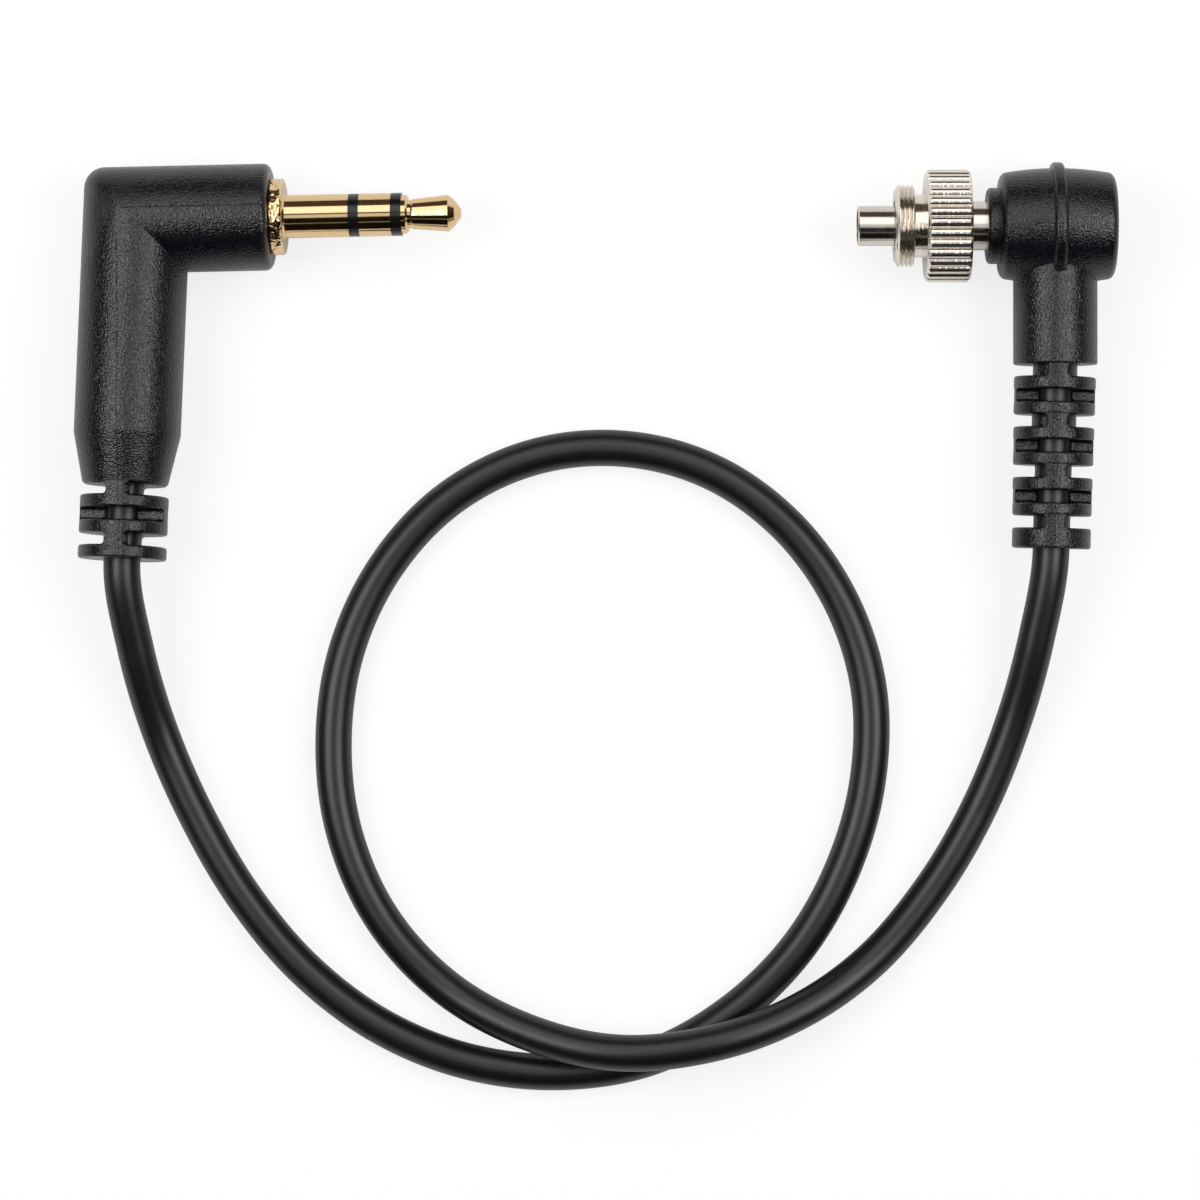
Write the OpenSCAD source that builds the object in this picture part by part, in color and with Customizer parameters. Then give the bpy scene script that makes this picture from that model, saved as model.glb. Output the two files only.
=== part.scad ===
// Flash sync cord: a right-angle 3.5 mm stereo jack plug and a right-angle, screw-locking PC sync
// plug on one 3 mm cable. The cord lies on the plane z = 0, +Z is up, and the origin is at the
// bottom centre of the two plugs. The sync plug's contact points along -X.

/* [Jack contacts] */
// Diameter of the plug's shaft
jack_d = 3.5; // [2.5:0.05:6.35]
// Length of the shaft, from the flange to the point
jack_reach = 14.4; // [12:0.1:18]
// Length of the sleeve contact in front of the flange
sleeve_len = 5.3; // [4:0.1:8]
// Length of the ring contact
ring_len = 2.6; // [1.5:0.1:4]
// Width of each insulating band
band_len = 0.85; // [0.5:0.05:1.2]
// Diameter of the collar behind the tip's groove
tip_collar_d = 3.15; // [3:0.05:3.5]
// Length of that collar
tip_collar_len = 0.5; // [0.3:0.05:0.8]
// Diameter at the bottom of the tip's groove
tip_groove_d = 2.3; // [2.1:0.05:2.8]
// Width of the groove's bottom
tip_groove_len = 0.25; // [0.1:0.05:0.5]
// Bevel on both sides of the groove
tip_bevel = 0.15; // [0.05:0.01:0.2]
// Diameter of the tip just in front of the groove
tip_waist_d = 2.45; // [2.4:0.05:2.9]
// Largest diameter of the tip's head
tip_head_d = 3.0; // [2.9:0.05:3.5]
// Length of the cone at the point
tip_cone_len = 1.0; // [0.6:0.05:1.6]
// Diameter of the tip half way along that cone
tip_cone_mid_d = 2.1; // [1.6:0.05:2.4]
// Diameter of the blunt end of the point
tip_point_d = 0.7; // [0.4:0.05:1.2]
// Diameter of the rod that carries the tip
tip_rod_d = 1.0; // [0.8:0.05:1.1]
// Wall of the inner insulating tube
inner_tube_wall = 0.3; // [0.2:0.02:0.34]
// Wall of the ring contact's tube
ring_tube_wall = 0.28; // [0.2:0.02:0.32]
// Wall of the outer insulating tube
outer_tube_wall = 0.25; // [0.18:0.01:0.28]
// Diameter of the flange
flange_d = 6.2; // [5.5:0.1:8]
// Thickness of the flange
flange_t = 1.05; // [0.8:0.05:2]
// Diameter of the spigot behind the flange
spigot_d = 5.0; // [4.6:0.1:5.4]
// Length of the spigot
spigot_len = 2.8; // [2:0.1:3.6]
// Chamfer on the edges of the turned contacts
turned_edge = 0.12; // [0.05:0.01:0.2]

/* [Jack terminals] */
// Thickness of the stamped terminals
lug_t = 0.3; // [0.2:0.05:0.4]
// Width of the ground and tip terminals' tabs
tab_w = 1.6; // [1.2:0.1:1.8]
// Thickness of the tinned tabs
tab_t = 0.4; // [0.3:0.05:0.5]
// Thickness of the insulating washers
washer_t = 0.8; // [0.6:0.05:1]
// Outer diameter of the front washer and of the ring terminal
front_washer_d = 3.8; // [3.4:0.1:4]
// Outer diameter of the rear washer
rear_washer_d = 2.8; // [2.4:0.1:2.9]
// Outer diameter of the tip terminal
tip_lug_d = 3.0; // [2.8:0.1:3.4]
// Diameter of the tip rod's riveted head
rivet_d = 1.9; // [1.5:0.1:2]
// Thickness of the riveted head
rivet_t = 0.5; // [0.3:0.05:0.8]
// Height of the ground terminal's tab below the axis
ground_tab_drop = 2.1; // [2:0.05:2.3]
// Height of the tip terminal's tab above the axis
tip_tab_rise = 1.1; // [1.05:0.05:1.4]
// Height of the ring terminal's tab above the axis
ring_tab_rise = 1.5; // [1.45:0.05:1.7]
// Length of the ring terminal's free tab
ring_tab_len = 3.0; // [2:0.1:3.4]
// Width of that tab
ring_tab_w = 1.4; // [1:0.1:1.6]

/* [Jack housing] */
// Diameter of the moulded body
jack_body_d = 8.7; // [8:0.1:11]
// Distance from the cable arm's axis to the face behind the flange
jack_arm = 11.1; // [10:0.1:14]
// Distance from the shaft's axis to the crease where the taper starts
jack_crease = 17.5; // [14.5:0.1:24]
// Length of the taper
jack_taper_len = 4.2; // [2:0.1:8]
// Diameter at the end of the taper
jack_taper_d = 7.0; // [6:0.05:8]
// Radius of the outer corner of the elbow, seen from above
jack_corner_r = 1.8; // [0.4:0.05:3]
// Edge radius round the front face
jack_edge_r = 0.6; // [0.1:0.05:0.8]
// Lean of the cable arm from square, in degrees
jack_lean = 3; // [0:0.5:6]
// Diameter of the premould round the contacts' rear ends
jack_core_d = 6.6; // [6.4:0.1:7.2]
// Distance that the premould reaches behind the cable arm's axis
jack_core_rear = 2.0; // [1.5:0.1:2.4]
// Diameter of the premould in the cable arm
jack_core_arm_d = 6.0; // [5.4:0.1:6.2]
// How far the premould reaches down the cable arm
jack_core_drop = 12.5; // [11:0.1:14]
// Distance from the shaft's axis to the cut end of the cable
jack_cut = 9.5; // [8:0.1:10.5]

/* [Strain reliefs] */
// Rings on the jack's strain relief
jack_rings = 3; // [2:1:5]
// Outer diameter of the jack's rings
jack_ring_d = 7.2; // [6:0.1:8]
// Turn of the jack's webs about the cable, in degrees
jack_web_turn = 5; // [0:1:15]
// Gap between the jack's housing and the first ring
jack_first_gap = 0.9; // [0.65:0.05:1.2]
// Rings on the sync plug's strain relief
pc_rings = 7; // [3:1:9]
// Outer diameter of the sync plug's first ring
pc_ring_d = 6.65; // [6:0.05:8]
// Outer diameter of the sync plug's last ring
pc_last_ring_d = 6.4; // [5.5:0.05:8]
// Thickness of a ring
relief_ring_t = 1.05; // [0.7:0.05:1.6]
// Gap between two rings
relief_gap = 1.0; // [0.65:0.05:1.6]
// Thickness of the sync plug's last ring
pc_last_ring_t = 1.65; // [1:0.05:2.5]
// Width of the webs that join the rings
web_w = 1.5; // [0.9:0.05:2]
// Radius in the corners where the webs run into the rings
web_fillet_r = 0.3; // [0.1:0.05:0.3]
// Edge radius of the rings
ring_edge_r = 0.2; // [0.1:0.05:0.3]
// Wall of the sleeves round the cable in the sync plug's strain relief
relief_tube_wall = 0.25; // [0.15:0.01:0.4]
// Gaps with such a sleeve, every other one, counted from the neck
relief_tubes = 2; // [1:1:4]
// Lean of the sync plug's strain relief from square, in degrees
pc_lean = 1.3; // [0:0.1:3]

/* [Sync contact] */
// Outer diameter of the contact sleeve
pc_sleeve_d = 3.23; // [3.1:0.01:3.4]
// Length of the contact sleeve in front of the locking thread
pc_reach = 3.0; // [2.5:0.1:4]
// Diameter of the stem behind it
stem_d = 3.95; // [3.65:0.05:4.2]
// Distance of the stem's front end behind the locking thread's face
stem_set_back = 0.1; // [0.05:0.05:0.8]
// Bore of the sleeve's mouth
mouth_d = 2.6; // [2.4:0.05:2.8]
// Depth of the mouth
mouth_depth = 2.5; // [2:0.1:3]
// Diameter of the insulator inside
pc_insulator_d = 2.2; // [1.8:0.05:2.3]
// Diameter of the centre pin
pc_pin_d = 0.9; // [0.8:0.05:1]
// Distance from the pin's end back to the mouth's rim
pin_recess = 0.5; // [0.2:0.05:1]
// Diameter of the relief in which the retaining ring rides
relief_groove_d = 3.0; // [2.9:0.05:3.1]
// Diameter of the flange that anchors the stem in the moulding
anchor_d = 5.2; // [4.4:0.1:5.6]
// Thickness of that flange
anchor_t = 1.0; // [0.6:0.05:1.4]
// Distance of that flange behind the barrel's front
anchor_cover = 0.6; // [0.4:0.05:1]
// Length of the stem behind that flange
stem_tail = 0.6; // [0.4:0.05:0.8]
// How far the insulator stands out behind the stem
pc_insulator_tail = 0.8; // [0.6:0.05:1]
// How far the centre pin reaches behind the neck's axis
pc_pin_tail = 0.6; // [0.5:0.05:1]

/* [Locking ring] */
// Diameter over the knurl
knurl_d = 9.15; // [8.6:0.05:11]
// Length of the knurled part
knurl_len = 3.65; // [3.2:0.05:6]
// Number of ridges
knurl_ridges = 30; // [20:1:48]
// Radius of a ridge's round back
knurl_ridge_r = 0.5; // [0.4:0.02:0.8]
// Chamfer at the ends of the knurl
knurl_chamfer = 0.28; // [0.1:0.02:0.5]
// Major diameter of the locking thread
thread_d = 6.65; // [6:0.05:7.5]
// Pitch of the locking thread
thread_pitch = 0.35; // [0.25:0.05:0.5]
// Depth of the locking thread
thread_depth = 0.24; // [0.1:0.01:0.3]
// Turns of the locking thread
thread_turns = 4; // [3:1:6]
// Chamfer at the face of the locking thread
thread_lead_in = 0.15; // [0.05:0.05:0.3]
// Diameter of the neck between knurl and thread
nose_neck_d = 5.1; // [4.9:0.05:5.5]
// Length of that neck
nose_neck_len = 0.95; // [0.6:0.05:1.6]
// Travel of the ring along the stem
ring_travel = 1.3; // [0.4:0.05:1.4]
// Thickness of the retaining ring
clip_t = 0.5; // [0.3:0.05:0.6]
// Distance from the knurl's front end to the retaining ring
clip_set_back = 0.65; // [0.5:0.05:0.9]
// Outer diameter of the retaining ring
clip_d = 4.85; // [4.6:0.05:5.2]
// Opening of the retaining ring, in degrees
clip_opening = 30; // [15:1:60]

/* [Sync housing] */
// Diameter of the barrel at its middle
barrel_d = 9.4; // [8.8:0.05:11]
// Diameter of the barrel at its ends
barrel_end_d = 8.5; // [7.6:0.05:9]
// Length of the barrel in front of the neck's axis
barrel_front = 4.6; // [4.4:0.1:6]
// Length of the barrel behind the neck's axis
barrel_rear = 4.8; // [4.6:0.1:7]
// Edge radius of the barrel
barrel_edge_r = 0.75; // [0.2:0.05:1]
// Diameter over the rib round the barrel
rib_d = 10.35; // [9.7:0.05:12]
// Width of the rib
rib_w = 1.05; // [0.9:0.05:2]
// Edge radius of the rib
rib_edge_r = 0.35; // [0.2:0.05:0.4]
// Distance of the rib behind the neck's axis
rib_set_back = 0.1; // [-0.5:0.05:0.5]
// Diameter of the boss in front of the barrel
boss_d = 6.2; // [5.8:0.1:7]
// Length of the boss
boss_len = 1.0; // [0.5:0.05:2]
// Edge radius of the boss
boss_edge_r = 0.35; // [0.1:0.05:0.45]
// Diameter of the neck towards the cable
neck_d = 6.85; // [6.4:0.05:8]
// Distance from the barrel's axis to the end of the neck
neck_drop = 11.3; // [10:0.1:16]
// Diameter of the premould round the contact's rear end
pc_core_d = 6.0; // [5.6:0.1:6.8]
// Diameter of the premould in the neck
pc_core_neck_d = 5.0; // [4.6:0.1:5.6]
// Distance that the premould reaches behind the neck's axis
pc_core_rear = 2.2; // [1.5:0.1:3]
// Distance that the premould reaches down the neck
pc_core_drop = 9.0; // [7.5:0.1:9.8]
// Distance from the barrel's axis to the cut end of the cable
pc_cut = 6.5; // [5.5:0.1:7]
// Height of the ground terminal's tab below the barrel's axis
pc_tab_drop = 2.0; // [1.6:0.05:2.1]

/* [Cable] */
// Diameter of the cable's jacket
cable_d = 3.0; // [2.4:0.1:3.6]
// Diameter of the insulated core
core_d = 1.2; // [0.9:0.05:1.3]
// Diameter of the copper conductor
conductor_d = 0.6; // [0.3:0.05:0.7]
// Diameter of the shield's twisted tail
shield_tail_d = 0.75; // [0.5:0.05:0.8]
// Distance of that tail from the core's axis
shield_tail_set = 1.05; // [1:0.01:1.1]
// Diameter of a solder joint
solder_d = 1.3; // [1:0.05:1.35]
// Distance from a wire's end back to the middle of its solder joint
solder_set = 0.3; // [0.2:0.05:0.5]
// Distance from a ground terminal's tab to the core's cut insulation
core_set_back = 1.1; // [1.1:0.05:1.5]

/* [Layout] */
// Distance between the corners of the two plugs, along X
plug_spacing = 74.85; // [60:0.05:120]
// How far the jack's corner lies beyond the sync plug's, along Y
plug_stagger = 0.55; // [-3:0.05:3]
// Lift of the jack's tip by the cable's twist, in degrees
jack_roll = 3; // [0:0.5:6]
// Lift of the jack's cable end, in degrees
jack_pitch = 3; // [0:0.5:6]
// Turn of the jack seen from above, in degrees
jack_yaw = 1; // [-3:0.5:3]

/* [Fits] */
// Gap round a piece that is moulded in or pressed in
seat_gap = 0.02; // [0.01:0.01:0.04]
// Gap between a wire's end and the terminal that it is soldered to
joint_gap = 0.05; // [0.04:0.01:0.1]
// Gap round the cable in the sync plug's strain relief
relief_bore_gap = 0.06; // [0.05:0.01:0.1]
// Radial running clearance of the locking ring on the stem
running_gap = 0.08; // [0.05:0.01:0.1]
// End play of the retaining ring in its groove, on each side
clip_play = 0.08; // [0.05:0.01:0.12]
// Least gap that the locking ring keeps to the housing
stop_gap = 0.05; // [0.03:0.01:0.1]

/* [Hidden] */
$fn = 64;

black_pvc = "#222224";
gold = "#d6ac58";
nickel = "#c9c4ba";
copper = "#b8734a";
tin = "#b9bcc0";
natural_pe = "#e6e2d6";
band_black = "#0e0f10";
fibre = "#d8cdb4";

// Larger than any plug, for half spaces
beyond = 40;
// How far a cut reaches past the face that it opens
past = 1;
// How far one form reaches into the next
lap = 0.2;
// How far a fillet's circle dips into the face on which it runs out, so that the two cross, and
// how far a web stays inside the rings that it joins
bite = 0.02;

// Radii of the jack's nested contacts
rod_r = tip_rod_d / 2;
inner_tube_r = rod_r + inner_tube_wall;
ring_tube_r = inner_tube_r + ring_tube_wall;
outer_tube_r = ring_tube_r + outer_tube_wall;
shaft_r = jack_d / 2;

// Stations along the jack's axis, from the cable arm's axis to the point
flange_front = jack_arm + flange_t;
sleeve_end = flange_front + sleeve_len;
ring_start = sleeve_end + band_len;
ring_end = ring_start + ring_len;
tip_start = ring_end + band_len;
point_end = flange_front + jack_reach;
spigot_end = jack_arm - spigot_len;
ground_lug_end = spigot_end - lug_t;
front_washer_end = ground_lug_end - washer_t;
ring_lug_end = front_washer_end - lug_t;
rear_washer_end = ring_lug_end - washer_t;
tip_lug_end = rear_washer_end - lug_t;
rivet_end = tip_lug_end - rivet_t;
groove_at = tip_start + tip_collar_len;
head_at = point_end - tip_cone_len;

// Stations along the cable arms
jack_arm_end = jack_crease + jack_taper_len;
jack_exit = jack_arm_end + jack_first_gap + jack_rings * relief_ring_t + (jack_rings - 1) * relief_gap;
pc_exit = neck_drop + pc_rings * relief_gap + (pc_rings - 1) * relief_ring_t + pc_last_ring_t;
// Pitch of the strain reliefs' rings, and radius of the sleeves in the sync plug's
relief_pitch = relief_ring_t + relief_gap;
relief_tube_r = cable_d / 2 + relief_bore_gap + relief_tube_wall;

// Stations along the sync plug's axis, counted forwards from the neck's axis
boss_front = barrel_front + boss_len;
knurl_rear = boss_front + ring_travel + stop_gap;
knurl_front = knurl_rear + knurl_len;
thread_start = knurl_front + nose_neck_len;
thread_end = thread_start + thread_turns * thread_pitch;
nose_front = thread_end + thread_lead_in;
mouth_rim = nose_front + pc_reach;
stem_front = nose_front - stem_set_back;
clip_front = knurl_front - clip_set_back;
clip_rear = clip_front - clip_t;
relief_front = clip_front + stop_gap;
relief_rear = clip_rear - ring_travel - stop_gap;
anchor_front = barrel_front - anchor_cover;
anchor_rear = anchor_front - anchor_t;
stem_end = anchor_rear - stem_tail;
pc_insulator_end = stem_end - pc_insulator_tail;
mouth_floor = mouth_rim - mouth_depth;
ring_bore_r = stem_d / 2 + running_gap;

// Heights at which the stripped wires stop, counted down the arms from the plugs' axes
jack_ground_tab_end = ground_tab_drop + tab_t;
jack_conductor_top = -tip_tab_rise + joint_gap;
jack_tail_top = jack_ground_tab_end + joint_gap;
jack_core_top = jack_ground_tab_end + core_set_back;
pc_ground_tab_end = pc_tab_drop + tab_t;
pc_conductor_top = pc_pin_d / 2 + joint_gap;
pc_tail_top = pc_ground_tab_end + joint_gap;
pc_core_top = pc_ground_tab_end + core_set_back;
// The ground terminals' tabs stop short of the shield's tail
ground_tab_stop = shield_tail_set - shield_tail_d / 2 + joint_gap;

// The jack's turn as a matrix, for the places that other pieces take from it
jack_turn = [-jack_pitch, -jack_roll, jack_yaw];
function turn_x(a) = [[1, 0, 0], [0, cos(a), -sin(a)], [0, sin(a), cos(a)]];
function turn_y(a) = [[cos(a), 0, sin(a)], [0, 1, 0], [-sin(a), 0, cos(a)]];
function turn_z(a) = [[cos(a), -sin(a), 0], [sin(a), cos(a), 0], [0, 0, 1]];
jack_matrix = turn_z(jack_turn.z) * turn_y(jack_turn.y) * turn_x(jack_turn.x);
jack_arm_matrix = jack_matrix * turn_z(-jack_lean);
jack_arm_way = jack_arm_matrix * [0, -1, 0];
jack_shaft_way = jack_matrix * [1, 0, 0];

// Half the width of a disc of radius r, across way, measured along one axis
function disc_half(r, way, axis) = r * sqrt(1 - way[axis] * way[axis]);

// The plugs' box, measured from the jack's corner
jack_body_r = jack_body_d / 2;
box_left = jack_crease * jack_arm_way.x - disc_half(jack_body_r, jack_arm_way, 0);
box_right = plug_spacing + barrel_rear;
box_top = max(
    jack_arm * jack_shaft_way.y + disc_half(jack_body_r, jack_shaft_way, 1),
    rib_d / 2 - plug_stagger
);
box_bottom = min(
    jack_exit * jack_arm_way.y - disc_half(jack_ring_d / 2, jack_arm_way, 1),
    -plug_stagger - pc_exit
);
lift_slope = tan(jack_roll) + tan(jack_pitch);
jack_height = jack_body_r * sqrt(1 + lift_slope * lift_slope);
jack_at = [-(box_left + box_right) / 2, -(box_top + box_bottom) / 2, jack_height];
pc_at = [jack_at.x + plug_spacing, jack_at.y - plug_stagger, rib_d / 2];

function jack_arm_point(drop) = jack_at + jack_arm_way * drop;
pc_relief_at = pc_at + [0, -neck_drop, 0];
pc_relief_way = turn_z(-pc_lean) * [0, -1, 0];
pc_relief_len = pc_exit - neck_drop;

// The cable's free run, from the jack to the sync plug
cable_route = [
    [-37.4, -23.3, 4.3],
    [-35.5, -30.4, 2],
    [-32.5, -37.3, 1.5],
    [-28.6, -43.9, 1.5],
    [-23.7, -49.7, 1.5],
    [-17.6, -54.3, 1.5],
    [-10.5, -57.2, 1.5],
    [-2.9, -58.1, 1.5],
    [4.6, -56.9, 1.5],
    [11.3, -53.2, 1.5],
    [16.7, -47.9, 1.5],
    [20.5, -41.2, 1.5],
    [22.5, -33.9, 1.5],
    [22.5, -26.3, 1.5],
    [20.1, -19.1, 1.5],
    [15.6, -13, 1.5],
    [9.4, -8.7, 1.5],
    [2.2, -6.9, 1.5],
    [-5.3, -7.7, 1.5],
    [-12, -11.1, 1.5],
    [-17.1, -16.6, 1.5],
    [-20.3, -23.4, 1.5],
    [-21.4, -31, 1.5],
    [-20.5, -38.5, 1.5],
    [-17.4, -45.5, 1.5],
    [-12.2, -51.1, 1.8],
    [-5.6, -54.6, 3.4],
    [1.7, -56.2, 4.9],
    [9.3, -55.5, 5.2],
    [16.4, -53.1, 3.9],
    [22.6, -49, 2],
    [27.6, -43.2, 1.5],
    [31.5, -36.6, 1.5],
    [34.3, -29.5, 2.3],
    [36.1, -22.4, 4.1]
];
cable_path = concat(
    [jack_arm_point(jack_cut), jack_arm_point(jack_exit)],
    cable_route,
    [pc_relief_at + pc_relief_way * pc_relief_len, pc_relief_at, pc_at + [0, -pc_cut, 0]]
);
cable_sides = 8;

// Lays what stands along +Z along the jack's shaft, along the sync plug's contact, or down an arm
module along_shaft() {
    rotate([0, 90, 0])
        children();
}
module along_contact() {
    rotate([0, -90, 0])
        children();
}
module down_arm() {
    rotate([90, 0, 0])
        children();
}

// The frames of the two plugs and of their cable arms
module in_jack() {
    translate(jack_at)
        rotate(jack_turn)
            children();
}
module in_jack_arm() {
    in_jack()
        rotate([0, 0, -jack_lean])
            children();
}
module in_pc() {
    translate(pc_at)
        children();
}

// A solid of revolution that stands along Z, from points of radius and height
module turned(points) {
    rotate_extrude()
        polygon(points);
}

// A tube from one station to another; bore 0 makes it solid
module tube(r, bore, from, to) {
    turned([[bore, from], [r, from], [r, to], [bore, to]]);
}

// Half a rounded plate to be revolved: its far corners have the radius e
module disc_profile(r, from, to, e) {
    translate([0, from])
        square([r - e, to - from]);
    translate([0, from + e])
        square([r, to - from - 2 * e]);
    translate([r - e, from + e])
        circle(e);
    translate([r - e, to - e])
        circle(e);
}
module disc(r, from, to, e) {
    rotate_extrude()
        disc_profile(r, from, to, e);
}

// ---- Jack plug: contacts ----

module jack_tip() {
    collar_r = tip_collar_d / 2;
    groove_end = groove_at + tip_groove_len;
    color(gold)
        in_jack()
            along_shaft()
                turned([
                    [0, rivet_end],
                    [rivet_d / 2, rivet_end],
                    [rivet_d / 2, tip_lug_end],
                    [rod_r, tip_lug_end],
                    [rod_r, tip_start],
                    [collar_r, tip_start],
                    [collar_r, groove_at - tip_bevel],
                    [collar_r - tip_bevel, groove_at],
                    [tip_groove_d / 2, groove_at],
                    [tip_groove_d / 2, groove_end],
                    [tip_waist_d / 2, groove_end + tip_bevel],
                    [tip_head_d / 2, head_at],
                    [tip_cone_mid_d / 2, (head_at + point_end) / 2],
                    [tip_point_d / 2, point_end],
                    [0, point_end]
                ]);
}

module jack_tip_insulator() {
    color(band_black)
        in_jack()
            along_shaft()
                turned([
                    [rod_r + seat_gap, ring_lug_end],
                    [inner_tube_r, ring_lug_end],
                    [inner_tube_r, ring_end],
                    [shaft_r, ring_end],
                    [shaft_r, tip_start],
                    [rod_r + seat_gap, tip_start]
                ]);
}

module jack_ring() {
    color(gold)
        in_jack()
            along_shaft()
                turned([
                    [inner_tube_r + seat_gap, front_washer_end],
                    [ring_tube_r, front_washer_end],
                    [ring_tube_r, ring_start],
                    [shaft_r, ring_start],
                    [shaft_r, ring_end],
                    [inner_tube_r + seat_gap, ring_end]
                ]);
}

module jack_ring_insulator() {
    color(band_black)
        in_jack()
            along_shaft()
                turned([
                    [ring_tube_r + seat_gap, front_washer_end],
                    [outer_tube_r, front_washer_end],
                    [outer_tube_r, sleeve_end],
                    [shaft_r, sleeve_end],
                    [shaft_r, ring_start],
                    [ring_tube_r + seat_gap, ring_start]
                ]);
}

module jack_sleeve() {
    flange_r = flange_d / 2;
    color(gold)
        in_jack()
            along_shaft()
                turned([
                    [outer_tube_r + seat_gap, spigot_end],
                    [spigot_d / 2, spigot_end],
                    [spigot_d / 2, jack_arm],
                    [flange_r - turned_edge, jack_arm],
                    [flange_r, jack_arm + turned_edge],
                    [flange_r, flange_front - turned_edge],
                    [flange_r - turned_edge, flange_front],
                    [shaft_r + turned_edge, flange_front],
                    [shaft_r, flange_front + turned_edge],
                    [shaft_r, sleeve_end],
                    [outer_tube_r + seat_gap, sleeve_end]
                ]);
}

// ---- Jack plug: terminals ----
// Each shape takes a gap, by which the premould's cavity is larger than the piece.

module washer_shape(d, bore, from, to, gap) {
    along_shaft()
        tube(d / 2 + gap, max(0, bore - gap), from - gap, to + gap);
}

module tab_shape(low, high, gap) {
    translate(low - [gap, gap, gap])
        cube(high - low + 2 * [gap, gap, gap]);
}

module jack_ground_lug_shape(gap) {
    washer_shape(spigot_d, outer_tube_r + seat_gap, ground_lug_end, spigot_end, gap);
    tab_shape(
        [ground_tab_stop, -jack_ground_tab_end, -tab_w / 2],
        [spigot_end, -ground_tab_drop, tab_w / 2],
        gap
    );
}

module jack_ring_lug_shape(gap) {
    washer_shape(front_washer_d, inner_tube_r + seat_gap, ring_lug_end, front_washer_end, gap);
    tab_shape(
        [front_washer_end - ring_tab_len, -ring_tab_w / 2, ring_tab_rise],
        [front_washer_end, ring_tab_w / 2, ring_tab_rise + tab_t],
        gap
    );
}

module jack_tip_lug_shape(gap) {
    washer_shape(tip_lug_d, rod_r + seat_gap, tip_lug_end, rear_washer_end, gap);
    tab_shape(
        [-tab_w / 2, tip_tab_rise, -tab_w / 2],
        [rear_washer_end, tip_tab_rise + tab_t, tab_w / 2],
        gap
    );
}

module jack_ground_lug() {
    color(tin)
        in_jack()
            jack_ground_lug_shape(0);
}

module jack_front_washer() {
    color(fibre)
        in_jack()
            washer_shape(front_washer_d, outer_tube_r + seat_gap, front_washer_end, ground_lug_end, 0);
}

module jack_ring_lug() {
    color(tin)
        in_jack()
            jack_ring_lug_shape(0);
}

module jack_rear_washer() {
    color(fibre)
        in_jack()
            washer_shape(rear_washer_d, rod_r + seat_gap, rear_washer_end, ring_lug_end, 0);
}

module jack_tip_lug() {
    color(tin)
        in_jack()
            jack_tip_lug_shape(0);
}

// ---- Stripped cable ends, drawn down an arm from the height at which each stops ----

module wire_shape(d, set, from, to, gap) {
    translate([set, 0, 0])
        down_arm()
            tube(d / 2 + gap, 0, from - gap, to + gap);
}

module jack_conductor() {
    color(copper)
        in_jack_arm()
            wire_shape(conductor_d, 0, jack_conductor_top, jack_cut, 0);
}

module core_shape(top, cut, gap) {
    down_arm()
        tube(core_d / 2 + gap, conductor_d / 2 + seat_gap - gap, top - gap, cut + gap);
}

module jack_core() {
    color("white")
        in_jack_arm()
            core_shape(jack_core_top, jack_cut, 0);
}

module jack_shield_tail() {
    color(copper)
        in_jack_arm()
            wire_shape(shield_tail_d, shield_tail_set, jack_tail_top, jack_cut, 0);
}

module jack_tip_joint(gap) {
    rotate([0, 0, -jack_lean])
        translate([0, -jack_conductor_top - solder_set, 0])
            sphere(d = solder_d + 2 * gap);
}

module jack_ground_joint(gap) {
    rotate([0, 0, -jack_lean])
        translate([shield_tail_set, -jack_tail_top - solder_set, 0])
            sphere(d = solder_d + 2 * gap);
}

module jack_solder() {
    color(tin)
        in_jack()
            difference() {
                union() {
                    jack_tip_joint(0);
                    jack_ground_joint(0);
                }
                jack_ground_lug_shape(seat_gap);
                jack_tip_lug_shape(seat_gap);
                rotate([0, 0, -jack_lean]) {
                    wire_shape(conductor_d, 0, jack_conductor_top, jack_cut, seat_gap);
                    wire_shape(shield_tail_d, shield_tail_set, jack_tail_top, jack_cut, seat_gap);
                }
            }
}

// ---- Jack plug: mouldings ----

// An elbow of two rods of radius r: children(0) lies along the shaft and children(1) down the
// leaning arm. At the outer corner it keeps what both rods share, which makes the mitre, and past
// a pivot on that mitre the rods' outline turns through the radius q.
module elbow(r, q) {
    set = r - q;
    pivot = [-set / tan(45 + jack_lean / 2), set, 0];
    difference() {
        intersection() {
            children(0);
            rotate([0, 0, -jack_lean])
                children(1);
        }
        translate(pivot - [0, 0, beyond])
            linear_extrude(2 * beyond)
                polygon([
                    [0, 0],
                    [0, beyond],
                    [-beyond, beyond],
                    [-beyond, beyond * tan(jack_lean)]
                ]);
    }
    translate(pivot)
        rotate([0, 0, 90])
            rotate_extrude(angle = 90 - jack_lean)
                intersection() {
                    translate([-set, 0])
                        circle(r);
                    translate([0, -r])
                        square(2 * r);
                }
    intersection() {
        children(0);
        translate([0, -beyond / 2, -beyond / 2])
            cube(beyond);
    }
    rotate([0, 0, -jack_lean])
        intersection() {
            children(1);
            translate([-beyond / 2, -beyond, -beyond / 2])
                cube(beyond);
        }
}

module jack_premould_shape(gap) {
    along_shaft()
        tube(jack_core_d / 2 + gap, 0, -jack_core_rear - gap, spigot_end + gap);
    rotate([0, 0, -jack_lean])
        down_arm()
            tube(jack_core_arm_d / 2 + gap, 0, 0, jack_core_drop + gap);
}

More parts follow.
